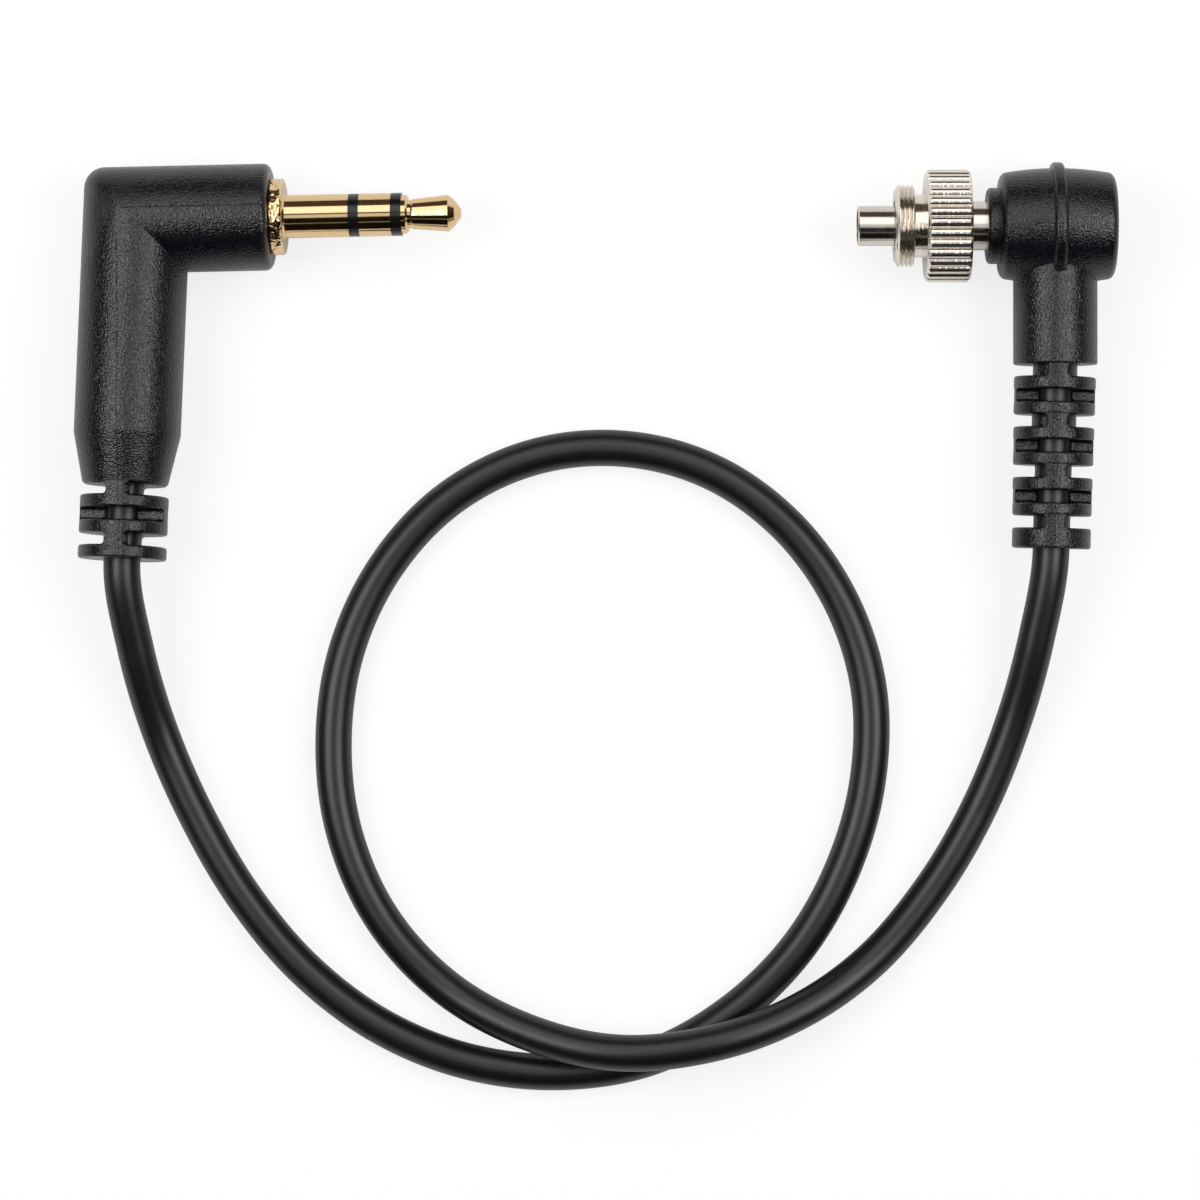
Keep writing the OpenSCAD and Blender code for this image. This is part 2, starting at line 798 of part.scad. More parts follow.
module jack_premould() {
    color(natural_pe)
        in_jack()
            difference() {
                jack_premould_shape(0);
                jack_ground_lug_shape(seat_gap);
                jack_ring_lug_shape(seat_gap);
                jack_tip_lug_shape(seat_gap);
                along_shaft() {
                    tube(front_washer_d / 2 + seat_gap, 0, ring_lug_end, spigot_end);
                    tube(rear_washer_d / 2 + seat_gap, 0, tip_lug_end, ring_lug_end);
                    tube(rivet_d / 2 + seat_gap, 0, rivet_end - seat_gap, rear_washer_end);
                }
                jack_tip_joint(seat_gap);
                jack_ground_joint(seat_gap);
                rotate([0, 0, -jack_lean]) {
                    wire_shape(conductor_d, 0, jack_conductor_top, jack_cut, seat_gap);
                    wire_shape(core_d, 0, jack_core_top, jack_cut, seat_gap);
                    wire_shape(shield_tail_d, shield_tail_set, jack_tail_top, jack_cut, seat_gap);
                    wire_shape(cable_d, 0, jack_cut, jack_core_drop + past, seat_gap);
                }
            }
}

// A web between two faces, with fillets into both, as a plate across a strain relief of radius r
module web(r, from, to) {
    intersection() {
        tube(r, 0, from - ring_edge_r, to + ring_edge_r);
        translate([0, r, 0])
            rotate([90, 0, 0])
                linear_extrude(2 * r)
                    difference() {
                        translate([-web_w / 2 - web_fillet_r, from - ring_edge_r])
                            square([web_w + 2 * web_fillet_r, to - from + 2 * ring_edge_r]);
                        for (side = [-1, 1])
                            translate([side * (web_w / 2 + web_fillet_r), 0]) {
                                translate([-web_fillet_r, from + web_fillet_r - bite])
                                    square([2 * web_fillet_r, to - from - 2 * (web_fillet_r - bite)]);
                                translate([0, from + web_fillet_r - bite])
                                    circle(web_fillet_r);
                                translate([0, to - web_fillet_r + bite])
                                    circle(web_fillet_r);
                            }
                    }
    }
}

// Rings joined by webs that stand in turn before and behind the cable and to its left and right.
// The gaps come first, counted from height 0 upwards.
module strain_relief(rings, first_d, last_d, first_gap, last_t) {
    for (i = [0 : rings - 1]) {
        low = first_gap + i * relief_pitch;
        thick = i == rings - 1 ? last_t : relief_ring_t;
        r = (first_d + (last_d - first_d) * i / (rings - 1)) / 2;
        disc(r, low, low + thick, ring_edge_r);
        rotate([0, 0, i % 2 == 0 ? 0 : 90])
            web(r - bite, i == 0 ? 0 : low - relief_gap, low);
    }
}

module jack_housing() {
    color(black_pvc)
        in_jack()
            difference() {
                union() {
                    elbow(jack_body_r, jack_corner_r) {
                        along_shaft()
                            disc(jack_body_r, -jack_body_d, jack_arm, jack_edge_r);
                        down_arm()
                            turned([
                                [0, -jack_body_d],
                                [jack_body_r, -jack_body_d],
                                [jack_body_r, jack_crease],
                                [jack_taper_d / 2, jack_arm_end - ring_edge_r],
                                [jack_taper_d / 2 - ring_edge_r, jack_arm_end],
                                [0, jack_arm_end]
                            ]);
                    }
                    rotate([0, 0, -jack_lean])
                        translate([0, -jack_arm_end, 0])
                            rotate([0, -jack_web_turn, 0])
                                down_arm()
                                    strain_relief(
                                        jack_rings, jack_ring_d, jack_ring_d,
                                        jack_first_gap, relief_ring_t
                                    );
                }
                jack_premould_shape(seat_gap);
                along_shaft()
                    tube(spigot_d / 2 + seat_gap, 0, spigot_end, jack_arm + past);
                rotate([0, 0, -jack_lean])
                    wire_shape(cable_d, 0, jack_core_drop, jack_exit + past, seat_gap);
            }
}

// ---- Cable ----

function unit(v) = v / norm(v);

// The way the path runs at point i
function path_way(path, i) =
    unit(path[min(i + 1, len(path) - 1)] - path[max(i - 1, 0)]);

// Points of the ring round the path at point i, the first to its right and the third on top
function ring_points(path, i, r, sides) =
    let (
        way = path_way(path, i),
        side = unit(cross(way, [0, 0, 1])),
        up = cross(side, way)
    )
    [for (k = [0 : sides - 1]) path[i] + r * (cos(360 * k / sides) * side + sin(360 * k / sides) * up)];

module swept_tube(path, r, sides) {
    last = len(path) - 1;
    points = [for (i = [0 : last]) each ring_points(path, i, r, sides)];
    walls = [
        for (i = [0 : last - 1])
            for (k = [0 : sides - 1])
                let (
                    a = i * sides + k,
                    b = i * sides + (k + 1) % sides
                )
                each [[a, b, b + sides], [a, b + sides, a + sides]]
    ];
    start_cap = [for (k = [sides - 1 : -1 : 0]) k];
    end_cap = [for (k = [0 : sides - 1]) last * sides + k];
    polyhedron(points, concat(walls, [start_cap, end_cap]));
}

module cable() {
    color(black_pvc)
        swept_tube(cable_path, cable_d / 2, cable_sides);
}

// The cable's length, and its least gap to itself, measured on points a quarter of a step apart
function path_length(path) =
    let (steps = [for (i = [1 : len(path) - 1]) norm(path[i] - path[i - 1])])
    steps * [for (s = steps) 1];
fine_path = [
    for (i = [0 : len(cable_path) - 2])
        for (s = [0 : 0.25 : 0.75])
            cable_path[i] * (1 - s) + cable_path[i + 1] * s
];
// Points fewer steps apart than this lie on the same strand
apart = 20;
least_gap = min([
    for (i = [0 : len(fine_path) - 1 - apart])
        for (j = [i + apart : len(fine_path) - 1])
            norm(fine_path[i] - fine_path[j])
]) - cable_d;

// ---- Sync plug: contacts ----

module pc_contact() {
    sleeve_r = pc_sleeve_d / 2;
    stem_r = stem_d / 2;
    bore_r = pc_insulator_d / 2 + seat_gap;
    color(nickel)
        in_pc()
            along_contact()
                turned([
                    [bore_r, stem_end],
                    [stem_r, stem_end],
                    [stem_r, anchor_rear],
                    [anchor_d / 2, anchor_rear],
                    [anchor_d / 2, anchor_front],
                    [stem_r, anchor_front],
                    [stem_r, relief_rear],
                    [relief_groove_d / 2, relief_rear],
                    [relief_groove_d / 2, relief_front],
                    [stem_r, relief_front],
                    [stem_r, stem_front - turned_edge],
                    [sleeve_r, stem_front],
                    [sleeve_r, mouth_rim - turned_edge],
                    [sleeve_r - turned_edge, mouth_rim],
                    [mouth_d / 2, mouth_rim],
                    [mouth_d / 2, mouth_floor],
                    [bore_r, mouth_floor]
                ]);
}

module pc_insulator() {
    color(natural_pe)
        in_pc()
            along_contact()
                tube(pc_insulator_d / 2, pc_pin_d / 2 + seat_gap, pc_insulator_end, mouth_floor);
}

module pc_pin_shape(gap) {
    r = pc_pin_d / 2 + gap;
    tip = mouth_rim - pin_recess;
    along_contact()
        turned([
            [0, -pc_pin_tail - gap],
            [r, -pc_pin_tail - gap],
            [r, tip - r / 2],
            [r / 2, tip],
            [0, tip]
        ]);
}

module pc_pin() {
    color(nickel)
        in_pc()
            pc_pin_shape(0);
}

module pc_ground_lug_shape(gap) {
    bore_r = pc_insulator_d / 2 + seat_gap;
    along_contact()
        tube(pc_ground_tab_end + gap, bore_r - gap, stem_end - lug_t - gap, stem_end + gap);
    tab_shape(
        [-stem_end, -pc_ground_tab_end, -tab_w / 2],
        [-ground_tab_stop, -pc_tab_drop, tab_w / 2],
        gap
    );
}

module pc_ground_lug() {
    color(tin)
        in_pc()
            pc_ground_lug_shape(0);
}

module pc_conductor() {
    color(copper)
        in_pc()
            wire_shape(conductor_d, 0, pc_conductor_top, pc_cut, 0);
}

module pc_core() {
    color("white")
        in_pc()
            core_shape(pc_core_top, pc_cut, 0);
}

module pc_shield_tail() {
    color(copper)
        in_pc()
            wire_shape(shield_tail_d, -shield_tail_set, pc_tail_top, pc_cut, 0);
}

module pc_pin_joint(gap) {
    translate([0, -pc_conductor_top, 0])
        sphere(d = solder_d + 2 * gap);
}

module pc_ground_joint(gap) {
    translate([-shield_tail_set, -pc_tail_top - solder_set, 0])
        sphere(d = solder_d + 2 * gap);
}

module pc_solder() {
    color(tin)
        in_pc()
            difference() {
                union() {
                    pc_pin_joint(0);
                    pc_ground_joint(0);
                }
                pc_pin_shape(seat_gap);
                pc_ground_lug_shape(seat_gap);
                wire_shape(conductor_d, 0, pc_conductor_top, pc_cut, seat_gap);
                wire_shape(shield_tail_d, -shield_tail_set, pc_tail_top, pc_cut, seat_gap);
            }
}

// ---- Sync plug: mouldings ----

module pc_premould_shape(gap) {
    along_contact()
        tube(pc_core_d / 2 + gap, 0, -pc_core_rear - gap, anchor_front + gap);
    down_arm()
        tube(pc_core_neck_d / 2 + gap, 0, 0, pc_core_drop + gap);
}

module pc_premould() {
    color(natural_pe)
        in_pc()
            difference() {
                pc_premould_shape(0);
                along_contact() {
                    tube(anchor_d / 2 + seat_gap, 0, anchor_rear - seat_gap, anchor_front + past);
                    tube(stem_d / 2 + seat_gap, 0, stem_end, anchor_front);
                    tube(pc_insulator_d / 2 + seat_gap, 0, pc_insulator_end - seat_gap, stem_end);
                }
                pc_ground_lug_shape(seat_gap);
                pc_pin_shape(seat_gap);
                pc_pin_joint(seat_gap);
                pc_ground_joint(seat_gap);
                wire_shape(conductor_d, 0, 0, pc_cut, seat_gap);
                wire_shape(core_d, 0, pc_core_top, pc_cut, seat_gap);
                wire_shape(shield_tail_d, -shield_tail_set, pc_tail_top, pc_cut, seat_gap);
                wire_shape(cable_d, 0, pc_cut, pc_core_drop + past, seat_gap);
            }
}

// The sleeves close every other gap of the strain relief and end inside its rings
module relief_sleeves() {
    count = min(relief_tubes, ceil(pc_rings / 2));
    for (i = [0 : count - 1])
        translate([0, 0, 2 * i * relief_pitch])
            tube(relief_tube_r, 0, -lap, relief_gap + lap);
}

// The barrel swells to its middle along one arc. The circles that round its edges stand out a
// little beyond that arc, so that the two cross.
module barrel() {
    half_len = (barrel_front + barrel_rear) / 2;
    middle = (barrel_front - barrel_rear) / 2;
    swell = (barrel_d - barrel_end_d) / 2;
    arc_r = (half_len * half_len + swell * swell) / (2 * swell);
    arc_x = barrel_d / 2 - arc_r;
    edge_y = half_len - barrel_edge_r;
    edge_x = arc_x + sqrt(arc_r * arc_r - edge_y * edge_y) - barrel_edge_r + seat_gap;
    rotate_extrude()
        translate([0, middle])
            intersection() {
                translate([arc_x, 0])
                    circle(arc_r, $fn = 720);
                union() {
                    translate([0, -half_len])
                        square([edge_x, 2 * half_len]);
                    translate([0, -edge_y])
                        square([barrel_d, 2 * edge_y]);
                    for (side = [-1, 1])
                        translate([edge_x, side * edge_y])
                            circle(barrel_edge_r);
                }
            }
}

module pc_housing() {
    color(black_pvc)
        in_pc()
            difference() {
                union() {
                    along_contact() {
                        barrel();
                        disc(boss_d / 2, 0, boss_front, boss_edge_r);
                        disc(rib_d / 2, -rib_set_back - rib_w / 2, -rib_set_back + rib_w / 2, rib_edge_r);
                    }
                    down_arm()
                        disc(neck_d / 2, 0, neck_drop, ring_edge_r);
                    translate([0, -neck_drop, 0])
                        rotate([0, 0, -pc_lean])
                            down_arm() {
                                strain_relief(
                                    pc_rings, pc_ring_d, pc_last_ring_d,
                                    relief_gap, pc_last_ring_t
                                );
                                relief_sleeves();
                            }
                }
                pc_premould_shape(seat_gap);
                along_contact()
                    tube(stem_d / 2 + seat_gap, 0, anchor_front, boss_front + past);
                wire_shape(cable_d, 0, pc_core_drop, neck_drop, seat_gap);
                translate([0, -neck_drop, 0])
                    rotate([0, 0, -pc_lean])
                        wire_shape(cable_d, 0, -lap, pc_relief_len + past, relief_bore_gap);
            }
}

// ---- Sync plug: locking ring ----

module pc_retaining_ring() {
    color(tin)
        in_pc()
            along_contact()
                rotate([0, 0, clip_opening / 2])
                    rotate_extrude(angle = 360 - clip_opening)
                        polygon([
                            [relief_groove_d / 2 + running_gap, clip_rear],
                            [clip_d / 2, clip_rear],
                            [clip_d / 2, clip_front],
                            [relief_groove_d / 2 + running_gap, clip_front]
                        ]);
}

// The knurl's outline: round ridges that meet in sharp grooves
module knurl_outline() {
    centre_r = knurl_d / 2 - knurl_ridge_r;
    circle(centre_r);
    for (i = [0 : knurl_ridges - 1])
        rotate([0, 0, i * 360 / knurl_ridges])
            translate([centre_r, 0])
                circle(knurl_ridge_r);
}

module knurl() {
    top = knurl_d / 2;
    intersection() {
        translate([0, 0, knurl_rear])
            linear_extrude(knurl_len)
                knurl_outline();
        turned([
            [0, knurl_rear],
            [top - knurl_chamfer, knurl_rear],
            [top, knurl_rear + knurl_chamfer],
            [top, knurl_front - knurl_chamfer],
            [top - knurl_chamfer, knurl_front],
            [0, knurl_front]
        ]);
    }
}

// The threaded nose. Its thread is drawn as separate crests, one to each turn, with two flanks and
// a flat a fifth of the pitch wide.
module threaded_nose() {
    crest = thread_d / 2;
    root = crest - thread_depth;
    flank = 0.4 * thread_pitch;
    turned([
        [0, knurl_front - lap],
        [nose_neck_d / 2, knurl_front - lap],
        [nose_neck_d / 2, thread_start],
        for (i = [0 : thread_turns - 1])
            let (low = thread_start + i * thread_pitch)
            each [[root, low], [crest, low + flank], [crest, low + thread_pitch - flank]],
        [root, thread_end],
        [root - thread_lead_in, nose_front],
        [0, nose_front]
    ]);
}

module pc_locking_ring() {
    color(nickel)
        in_pc()
            along_contact()
                difference() {
                    union() {
                        knurl();
                        threaded_nose();
                    }
                    tube(ring_bore_r, 0, knurl_rear - past, nose_front + past);
                    tube(clip_d / 2 + running_gap, 0, clip_rear - clip_play, clip_front + clip_play);
                }
}

jack_tip();
jack_tip_insulator();
jack_ring();
jack_ring_insulator();
jack_sleeve();
jack_ground_lug();
jack_front_washer();
jack_ring_lug();
jack_rear_washer();
jack_tip_lug();
jack_conductor();
jack_core();
jack_shield_tail();
jack_solder();
jack_premould();
jack_housing();
cable();
pc_contact();
pc_insulator();
pc_pin();
pc_ground_lug();
pc_conductor();
pc_core();
pc_shield_tail();
pc_solder();
pc_premould();
pc_housing();
pc_retaining_ring();
pc_locking_ring();

echo(str("cable length ", path_length(cable_path), " mm, least gap to itself ", least_gap, " mm"));
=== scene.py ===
import math

import bmesh
import bpy
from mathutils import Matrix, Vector


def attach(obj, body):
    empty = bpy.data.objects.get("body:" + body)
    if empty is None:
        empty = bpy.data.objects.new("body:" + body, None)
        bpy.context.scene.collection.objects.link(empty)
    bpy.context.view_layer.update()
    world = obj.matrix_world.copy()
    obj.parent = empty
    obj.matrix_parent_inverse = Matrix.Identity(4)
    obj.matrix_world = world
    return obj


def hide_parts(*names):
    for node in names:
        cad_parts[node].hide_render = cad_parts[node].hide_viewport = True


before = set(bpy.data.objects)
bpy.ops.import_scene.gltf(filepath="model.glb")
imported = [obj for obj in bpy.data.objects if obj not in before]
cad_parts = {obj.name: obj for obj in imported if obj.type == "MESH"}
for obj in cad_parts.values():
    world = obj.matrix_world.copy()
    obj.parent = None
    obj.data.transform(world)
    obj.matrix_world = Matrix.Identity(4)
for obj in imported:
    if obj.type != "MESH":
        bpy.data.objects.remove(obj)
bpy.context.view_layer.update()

MM = 0.001

# Where the two plugs' corners lie, and how far the jack is turned by the cable's twist, in degrees
JACK_AT = (-37.3227, 11.6475, 4.37383)
JACK_TURN = (-3, -3, 1)
SYNC_AT = (37.5273, 11.0975, 5.175)

CABLE_D = 3.0

# The cable's centre line, from its cut end in the jack to its cut end in the sync plug
CABLE_ROUTE = [
    (-37.6798, 2.16584, 4.84364), (-38.3657, -16.0489, 5.74617), (-37.4, -23.3, 4.3),
    (-35.5, -30.4, 2.0), (-32.5, -37.3, 1.5), (-28.6, -43.9, 1.5), (-23.7, -49.7, 1.5),
    (-17.6, -54.3, 1.5), (-10.5, -57.2, 1.5), (-2.9, -58.1, 1.5), (4.6, -56.9, 1.5),
    (11.3, -53.2, 1.5), (16.7, -47.9, 1.5), (20.5, -41.2, 1.5), (22.5, -33.9, 1.5),
    (22.5, -26.3, 1.5), (20.1, -19.1, 1.5), (15.6, -13.0, 1.5), (9.4, -8.7, 1.5),
    (2.2, -6.9, 1.5), (-5.3, -7.7, 1.5), (-12.0, -11.1, 1.5), (-17.1, -16.6, 1.5),
    (-20.3, -23.4, 1.5), (-21.4, -31.0, 1.5), (-20.5, -38.5, 1.5), (-17.4, -45.5, 1.5),
    (-12.2, -51.1, 1.8), (-5.6, -54.6, 3.4), (1.7, -56.2, 4.9), (9.3, -55.5, 5.2),
    (16.4, -53.1, 3.9), (22.6, -49.0, 2.0), (27.6, -43.2, 1.5), (31.5, -36.6, 1.5),
    (34.3, -29.5, 2.3), (36.1, -22.4, 4.1), (37.1882, -15.1486, 5.175),
    (37.5273, -0.2025, 5.175), (37.5273, 4.5975, 5.175),
]


def linear(hex_colour):
    """A #rrggbb colour as linear values."""
    parts = [int(hex_colour[i:i + 2], 16) / 255 for i in (1, 3, 5)]
    return [p / 12.92 if p <= 0.04045 else ((p + 0.055) / 1.055) ** 2.4 for p in parts] + [1.0]


def feed(tree, node, inputs):
    """Sets a node's inputs, by name or place. A value stays constant, and a socket is linked.

    In a mix of colours the places 6 and 7 are the two colours, and output 2 is what comes of them.
    """
    for name, value in inputs.items():
        socket = node.inputs[name]
        if isinstance(value, bpy.types.NodeSocket):
            tree.links.new(value, socket)
        else:
            socket.default_value = value


def add(tree, kind, inputs=None, **settings):
    """Adds a node with its settings and its inputs."""
    node = tree.nodes.new(kind)
    for name, value in settings.items():
        setattr(node, name, value)
    feed(tree, node, inputs or {})
    return node


# ---------------------------------------------------------------- camera

def hang_camera():
    """Hangs the camera straight above the loop, with +Y up in the picture."""
    data = bpy.data.cameras.new("camera")
    # the lens that takes in the loop and both plugs from this height
    data.lens = 147.4
    data.sensor_width = 36
    data.clip_start = 0.01
    data.clip_end = 50
    camera = bpy.data.objects.new("camera", data)
    camera.location = (0.48 * MM, -19.34 * MM, 405 * MM)
    bpy.context.collection.objects.link(camera)
    bpy.context.scene.camera = camera


hang_camera()


# ---------------------------------------------------------------- cable

def smooth_route(points, step=0.45):
    """A smooth line through the points: each stretch is a cubic that keeps its neighbours' way."""
    points = [Vector(p) for p in points]
    ways = []
    for i, p in enumerate(points):
        if i == 0:
            ways.append((points[1] - p).normalized())
        elif i == len(points) - 1:
            ways.append((p - points[-2]).normalized())
        else:
            before = points[i] - points[i - 1]
            after = points[i + 1] - points[i]
            # the nearer neighbour counts more
            mixed = before / before.length ** 2 + after / after.length ** 2
            ways.append(mixed.normalized())
    # the stretch inside each plug keeps its own way at its end
    ways[1] = (points[1] - points[0]).normalized()
    ways[-3] = (points[-2] - points[-3]).normalized()
    line = []
    for a, b, way_a, way_b in zip(points, points[1:], ways, ways[1:]):
        reach = (b - a).length
        count = max(2, round(reach / step))
        for k in range(count):
            t = k / count
            line.append(
                a * (2 * t ** 3 - 3 * t ** 2 + 1) + way_a * reach * (t ** 3 - 2 * t ** 2 + t)
                + b * (3 * t ** 2 - 2 * t ** 3) + way_b * reach * (t ** 3 - t ** 2)
            )
    line.append(points[-1])
    # the cable lies on the surface and never in it
    for p in line:
        p.z = max(p.z, CABLE_D / 2)
    return line


def draw_cable(line, sides=40):
    """Sweeps the round jacket along the line. U goes round it and V along it, in metres."""
    mesh = bmesh.new()
    uv = mesh.loops.layers.uv.new("along")
    way = (line[1] - line[0]).normalized()
    out = way.orthogonal().normalized()
    rings, runs, run = [], [], 0.0
    for i, p in enumerate(line):
        nxt = line[min(i + 1, len(line) - 1)]
        prv = line[max(i - 1, 0)]
        turn = way.rotation_difference((nxt - prv).normalized())
        way = (nxt - prv).normalized()
        out = (turn @ out).normalized()
        side = way.cross(out)
        if i:
            run += (p - prv).length
        runs.append(run)
        ring = []
        for k in range(sides):
            a = 2 * math.pi * k / sides
            spoke = (out * math.cos(a) + side * math.sin(a)) * CABLE_D / 2
            ring.append(mesh.verts.new((p + spoke) * MM))
        rings.append(ring)
    around = math.pi * CABLE_D * MM
    for i in range(len(rings) - 1):
        for k in range(sides):
            n = (k + 1) % sides
            face = mesh.faces.new((rings[i][k], rings[i][n], rings[i + 1][n], rings[i + 1][k]))
            face.smooth = True
            places = [(k, i), (k + 1, i), (k + 1, i + 1), (k, i + 1)]
            for loop, (u, v) in zip(face.loops, places):
                loop[uv].uv = (u / sides * around, runs[v] * MM)
    for ring in (reversed(rings[0]), rings[-1]):
        mesh.faces.new(list(ring))
    data = bpy.data.meshes.new("cable_jacket")
    mesh.to_mesh(data)
    mesh.free()
    cable = bpy.data.objects.new("cable_jacket", data)
    bpy.context.collection.objects.link(cable)
    return cable, run


cable_line = smooth_route(CABLE_ROUTE)
cable, cable_length = draw_cable(cable_line)
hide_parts("cable")
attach(cable, "cord")


# ---------------------------------------------------------------- finishes

def new_finish(name):
    """A material with an empty shader, ready for its nodes."""
    material = bpy.data.materials.new(name)
    material.use_nodes = True
    tree = material.node_tree
    return material, tree, tree.nodes["Principled BSDF"]


def jack_place(tree):
    """A surface point in metres from the jack's corner, with X along its shaft."""
    spot = add(tree, "ShaderNodeTexCoord")
    turned = add(
        tree, "ShaderNodeMapping",
        {"Vector": spot.outputs["Object"], "Location": [c * MM for c in JACK_AT],
         "Rotation": [math.radians(a) for a in JACK_TURN]},
        vector_type="TEXTURE",
    )
    return turned.outputs["Vector"]


def sync_place(tree):
    """A surface point in metres from the sync plug's corner."""
    spot = add(tree, "ShaderNodeTexCoord")
    moved = add(
        tree, "ShaderNodeMapping",
        {"Vector": spot.outputs["Object"], "Location": [c * MM for c in SYNC_AT]},
        vector_type="TEXTURE",
    )
    return moved.outputs["Vector"]


def mould_seam(tree, axes, seam, under):
    """Cuts the fine groove where the mould parts, on top of another relief.

    The seam is an axis, a place on it, an axis and a place that the groove starts from, and its
    depth, in millimetres. The groove is 0.24 mm wide.
    """
    axis, middle, along, start, depth = seam
    off = add(tree, "ShaderNodeMath", {0: axes.outputs[axis], 1: middle * MM}, operation="SUBTRACT")
    away = add(tree, "ShaderNodeMath", {0: off.outputs[0]}, operation="ABSOLUTE")
    bank = add(tree, "ShaderNodeMapRange", {"Value": away.outputs[0], "From Max": 0.12 * MM})
    before = add(
        tree, "ShaderNodeMath", {0: axes.outputs[along], 1: start * MM},
        operation="LESS_THAN" if along == "X" else "GREATER_THAN",
    )
    height = add(
        tree, "ShaderNodeMath",
        {0: bank.outputs["Result"], 1: before.outputs[0]}, operation="MAXIMUM",
    )
    groove = add(
        tree, "ShaderNodeBump",
        {"Height": height.outputs[0], "Distance": depth * MM, "Strength": 1.0, "Normal": under},
    )
    return groove.outputs["Normal"]


def moulded_pvc(name, plug_place, seams=(), bend=None):
    """Soft PVC from a spark-eroded mould: blue-black, with a grain that breaks up the shine.

    The bend is where the elbow's outer corner is blended.
    """
    material, tree, shader = new_finish(name)
    spot = plug_place(tree)
    # the mould's grain, drawn at 0.13 mm and 0.045 mm deep, because the usual 0.05 mm, 0.01 mm
    # deep, would be too fine to show
    grain = add(tree, "ShaderNodeTexNoise", {"Vector": spot, "Scale": 1 / (0.13 * MM), "Detail": 0})
    # slow drift in the shine over about 4 mm
    drift = add(tree, "ShaderNodeTexNoise", {"Vector": spot, "Scale": 1 / (4 * MM), "Detail": 3})
    tone = add(
        tree, "ShaderNodeMix",
        {0: grain.outputs["Fac"], 6: linear("#060508"), 7: linear("#0e0c16")}, data_type="RGBA",
    )
    shine = add(
        tree, "ShaderNodeMapRange", {"Value": drift.outputs["Fac"], "To Min": 0.2, "To Max": 0.27},
    )
    # every moulded corner is a little round, and the elbow's outer corner much more
    soft = add(tree, "ShaderNodeBevel", {"Radius": 0.15 * MM}, samples=4)
    if bend:
        away = add(
            tree, "ShaderNodeVectorMath",
            {0: spot, 1: [c * MM for c in bend]}, operation="DISTANCE",
        )
        radius = add(
            tree, "ShaderNodeMapRange",
            {"Value": away.outputs["Value"], "From Min": 2.5 * MM, "From Max": 5.0 * MM,
             "To Min": 1.6 * MM, "To Max": 0.15 * MM},
        )
        feed(tree, soft, {"Radius": radius.outputs["Result"]})
    relief = add(
        tree, "ShaderNodeBump",
        {"Height": grain.outputs["Fac"], "Distance": 0.045 * MM, "Strength": 1.0,
         "Normal": soft.outputs["Normal"]},
    ).outputs["Normal"]
    axes = add(tree, "ShaderNodeSeparateXYZ", {"Vector": spot})
    for seam in seams:
        relief = mould_seam(tree, axes, seam, relief)
    feed(tree, shader, {
        "IOR": 1.53, "Specular IOR Level": 0.52,
        "Base Color": tone.outputs[2], "Roughness": shine.outputs["Result"], "Normal": relief,
    })
    return material


def extruded_pvc():
    """Extruded PVC jacket: satin, with faint drawn lines along the cable."""
    material, tree, shader = new_finish("extruded_pvc_satin")
    along = add(tree, "ShaderNodeUVMap", uv_map="along")
    # drawn lines 0.3 mm apart that run for 12 mm
    stretched = add(
        tree, "ShaderNodeMapping", {"Vector": along.outputs["UV"], "Scale": (1, 0.3 / 12, 1)},
    )
    drawn = add(
        tree, "ShaderNodeTexNoise",
        {"Vector": stretched.outputs["Vector"], "Scale": 1 / (0.3 * MM), "Detail": 2},
    )
    shine = add(
        tree, "ShaderNodeMapRange", {"Value": drawn.outputs["Fac"], "To Min": 0.32, "To Max": 0.42},
    )
    relief = add(
        tree, "ShaderNodeBump",
        {"Height": drawn.outputs["Fac"], "Distance": 0.02 * MM, "Strength": 0.2},
    )
    feed(tree, shader, {
        "Base Color": linear("#0b0a0c"), "IOR": 1.53, "Specular IOR Level": 0.56,
        "Roughness": shine.outputs["Result"], "Normal": relief.outputs["Normal"],
    })
    return material


def turned_metal(name, colour, plug_place, pitch, smoothest, roughest, depth, dent_end=None):
    """Plate over turned brass: bright, with turning lines of the given pitch round the X axis.

    Up to dent_end along that axis the metal is dented by tools.
    """
    material, tree, shader = new_finish(name)
    spot = plug_place(tree)
    # a line drifts over about 2 mm on its way round
    rings = add(tree, "ShaderNodeMapping", {"Vector": spot, "Scale": (1, pitch / 2, pitch / 2)})
    lines = add(
        tree, "ShaderNodeTexNoise",
        {"Vector": rings.outputs["Vector"], "Scale": 1 / (pitch * MM), "Detail": 3},
    )
    shine = add(
        tree, "ShaderNodeMapRange",
        {"Value": lines.outputs["Fac"], "To Min": smoothest, "To Max": roughest},
    )
    relief = add(
        tree, "ShaderNodeBump",
        {"Height": lines.outputs["Fac"], "Distance": depth * MM, "Strength": 1.0},
    )
    if dent_end:
        along = add(tree, "ShaderNodeSeparateXYZ", {"Vector": spot})
        dented = add(
            tree, "ShaderNodeMapRange",
            {"Value": along.outputs["X"], "From Min": (dent_end - 0.15) * MM,
             "From Max": (dent_end + 0.05) * MM, "To Min": 1.0, "To Max": 0.0},
        )
        # dents about 0.5 mm across
        dents = add(
            tree, "ShaderNodeTexNoise", {"Vector": spot, "Scale": 1 / (0.5 * MM), "Detail": 1},
        )
        relief = add(
            tree, "ShaderNodeBump",
            {"Height": dents.outputs["Fac"], "Distance": 0.2 * MM,
             "Strength": dented.outputs["Result"], "Normal": relief.outputs["Normal"]},
        )
    feed(tree, shader, {
        "Base Color": linear(colour), "Metallic": 1.0,
        "Roughness": shine.outputs["Result"], "Normal": relief.outputs["Normal"],
    })
    return material


